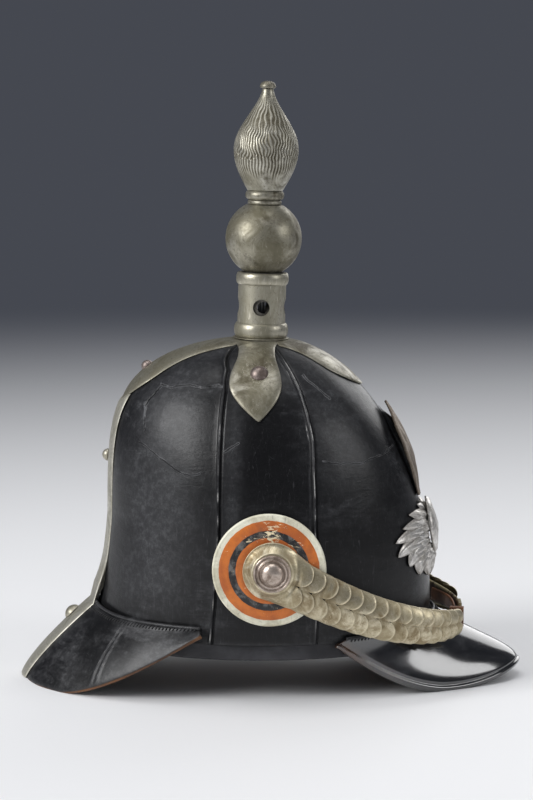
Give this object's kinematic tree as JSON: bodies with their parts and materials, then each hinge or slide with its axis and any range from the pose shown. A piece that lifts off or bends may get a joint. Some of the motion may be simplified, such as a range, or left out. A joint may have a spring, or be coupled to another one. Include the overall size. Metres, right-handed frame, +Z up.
{
  "type": "spiked helmet",
  "caption": "Black leather helmet with visor, neck guard, leaf-armed cross, ball-and-flame finial on a vented tube, rayed front plate, ring cockades and swinging chin scales.",
  "frame": {"origin": "on the floor, under the middle of the helmet from the visor's tip to the spine's hook", "axes": "+X to the front of the helmet, +Z up, -Y to the wearer's right"},
  "size_m": [0.3436, 0.2148, 0.406],
  "materials": {
    "black_leather": "glossy black lacquer, worn grey on the folds",
    "brown_leather": "worn natural brown",
    "cotton_cord": "matte",
    "tarnished_nickel": "tarnished grey-olive nickel silver",
    "dark_sleeve": "dull dark grey",
    "stud_steel": "worn, brownish grey",
    "plain_steel": "plain steel",
    "plate_silver": "tarnished silver grey",
    "crest_silver": "brownish tarnished silver",
    "scale_brass": "pale olive, silvered brass",
    "buckle_brass": "dull yellow",
    "cockade_paint": "rings of white, orange and black paint"
  },
  "bodies": {
    "helmet": {"skull": "black_leather", "front_visor": "black_leather", "neck_guard": "black_leather", "sweatband": "brown_leather", "liner_tongues": "brown_leather", "liner_cord": "cotton_cord", "cross_mount": "tarnished_nickel", "arm_studs": "stud_steel", "back_spine": "tarnished_nickel", "spine_studs": "stud_steel", "stud_nuts": "plain_steel", "vent_tube": "tarnished_nickel", "finial_cap": "tarnished_nickel", "finial_rod": "plain_steel", "rod_washer": "plain_steel", "rod_nut": "plain_steel", "plate_star": "plate_silver", "plate_crest": "crest_silver", "plate_disc": "plate_silver", "plate_posts": "stud_steel", "plate_nuts": "plain_steel", "right_cockade": "cockade_paint", "left_cockade": "cockade_paint", "right_boss": "stud_steel", "left_boss": "stud_steel", "boss_nuts": "plain_steel"},
    "finial": {"vent_sleeve": "dark_sleeve", "finial_ball": "tarnished_nickel", "finial_collar": "tarnished_nickel", "finial_flame": "tarnished_nickel"},
    "right_chin": {"right_rosette": "scale_brass", "right_scales": "scale_brass", "right_strap": "brown_leather", "strap_keeper": "brown_leather", "buckle_frame": "buckle_brass"},
    "left_chin": {"left_rosette": "scale_brass", "left_scales": "scale_brass", "left_strap": "brown_leather", "strap_tongue": "brown_leather"},
    "prong": {"buckle_prong": "buckle_brass"}
  },
  "joints": [
    {"name": "finial_turn", "type": "hinge", "parent": "helmet", "child": "finial", "pos_m": [-0.0065, 0, 0.2325], "axis": [0.0288, 0, 0.9996], "range_deg": [0, 60]},
    {"name": "right_chin_swing", "type": "hinge", "parent": "helmet", "child": "right_chin", "pos_m": [0.0029, 0, 0.0895], "axis": [0, -1, 0], "range_deg": [0, 45]},
    {"name": "left_chin_swing", "type": "hinge", "parent": "helmet", "child": "left_chin", "pos_m": [0.0029, 0, 0.0895], "axis": [0, -1, 0], "range_deg": [0, 45]},
    {"name": "prong_turn", "type": "hinge", "parent": "right_chin", "child": "prong", "pos_m": [0.1302, -0.002, 0.0445], "axis": [0, 0, -1], "range_deg": [0, 100]}
  ],
  "couplings": [
    {"joint": "left_chin_swing", "follows": "right_chin_swing", "ratio": 1}
  ]
}
